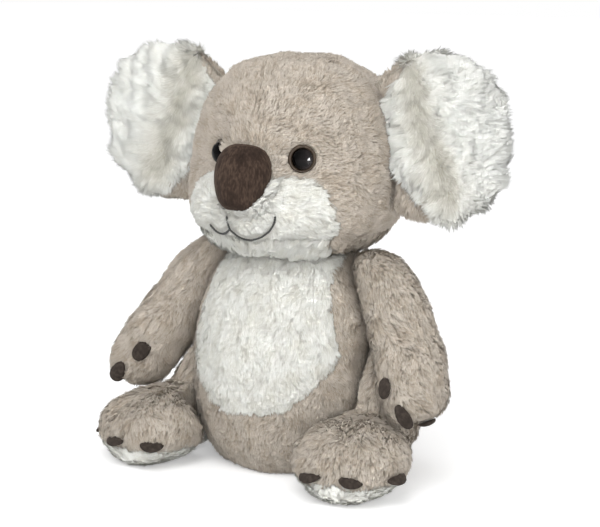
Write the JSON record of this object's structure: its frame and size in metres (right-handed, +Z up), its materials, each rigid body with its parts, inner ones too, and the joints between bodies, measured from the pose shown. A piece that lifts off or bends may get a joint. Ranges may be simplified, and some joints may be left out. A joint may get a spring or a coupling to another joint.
{
  "type": "plush koala",
  "caption": "Sitting stuffed koala toy with a round head, large dished ears, velour nose, plastic eyes and soft limbs that swing on sewn seams.",
  "frame": {"origin": "on the floor under the neck, in the plane between the toy's left and right halves", "axes": "+Z up from the floor; -Y the way the toy faces; +X to the toy's own left"},
  "size_m": [0.2862, 0.1596, 0.26],
  "materials": {
    "taupe_plush": "long soft pile, matte",
    "white_plush": "long soft pile, matte",
    "polyester_filling": "loose fibre",
    "brown_velour": "short dense pile, matte",
    "dark_suede": "brushed suede cloth, matte",
    "embroidery_thread": "satin stitched thread",
    "eye_plastic": "polished",
    "washer_plastic": "as moulded"
  },
  "bodies": {
    "torso": {"belly_panel": "white_plush", "seat_panel": "taupe_plush", "torso_back_left": "taupe_plush", "torso_back_right": "taupe_plush", "torso_filling": "polyester_filling", "torso_front": "taupe_plush"},
    "head": {"eye_left": "eye_plastic", "eye_right": "eye_plastic", "eye_washer_left": "washer_plastic", "eye_washer_right": "washer_plastic", "head_filling": "polyester_filling", "head_left": "taupe_plush", "head_right": "taupe_plush", "mouth_philtrum": "embroidery_thread", "mouth_smile": "embroidery_thread", "muzzle_panel": "white_plush", "nose": "brown_velour"},
    "left_ear": {"ear_back_left": "taupe_plush", "ear_front_left": "white_plush"},
    "right_ear": {"ear_back_right": "taupe_plush", "ear_front_right": "white_plush"},
    "left_arm": {"arm_filling_left": "polyester_filling", "arm_inner_left": "taupe_plush", "arm_outer_left": "taupe_plush", "hand_claw_left_1": "dark_suede", "hand_claw_left_2": "dark_suede", "hand_claw_left_3": "dark_suede"},
    "right_arm": {"arm_filling_right": "polyester_filling", "arm_inner_right": "taupe_plush", "arm_outer_right": "taupe_plush", "hand_claw_right_1": "dark_suede", "hand_claw_right_2": "dark_suede", "hand_claw_right_3": "dark_suede"},
    "left_leg": {"foot_claw_left_1": "dark_suede", "foot_claw_left_2": "dark_suede", "foot_claw_left_3": "dark_suede", "leg_filling_left": "polyester_filling", "leg_inner_left": "taupe_plush", "leg_outer_left": "taupe_plush", "sole_left": "white_plush"},
    "right_leg": {"foot_claw_right_1": "dark_suede", "foot_claw_right_2": "dark_suede", "foot_claw_right_3": "dark_suede", "leg_filling_right": "polyester_filling", "leg_inner_right": "taupe_plush", "leg_outer_right": "taupe_plush", "sole_right": "white_plush"}
  },
  "joints": [
    {"name": "head_turn", "type": "hinge", "parent": "torso", "child": "head", "pos_m": [0, 0, 0.136], "axis": [0, 0, 1], "range_deg": [-25, 25], "stiffness_Nm_per_rad": 0.3},
    {"name": "left_ear_flex", "type": "hinge", "parent": "head", "child": "left_ear", "pos_m": [0.061, 0.007, 0.208], "axis": [0, 0, 1], "range_deg": [-8, 8], "stiffness_Nm_per_rad": 0.1},
    {"name": "right_ear_flex", "type": "hinge", "parent": "head", "child": "right_ear", "pos_m": [-0.061, 0.007, 0.208], "axis": [0, 0, 1], "range_deg": [-8, 8], "stiffness_Nm_per_rad": 0.1},
    {"name": "left_arm_swing", "type": "hinge", "parent": "torso", "child": "left_arm", "pos_m": [0.047, 0, 0.119], "axis": [-0.9063, 0, -0.4226], "range_deg": [-25, 60], "stiffness_Nm_per_rad": 0.3},
    {"name": "right_arm_swing", "type": "hinge", "parent": "torso", "child": "right_arm", "pos_m": [-0.047, 0, 0.119], "axis": [-0.9063, 0, 0.4226], "range_deg": [-25, 60], "stiffness_Nm_per_rad": 0.3},
    {"name": "left_leg_swing", "type": "hinge", "parent": "torso", "child": "left_leg", "pos_m": [0.058, 0.004, 0.044], "axis": [1, 0, 0], "range_deg": [0, 30], "stiffness_Nm_per_rad": 1},
    {"name": "right_leg_swing", "type": "hinge", "parent": "torso", "child": "right_leg", "pos_m": [-0.058, 0.004, 0.044], "axis": [1, 0, 0], "range_deg": [0, 30], "stiffness_Nm_per_rad": 1}
  ]
}
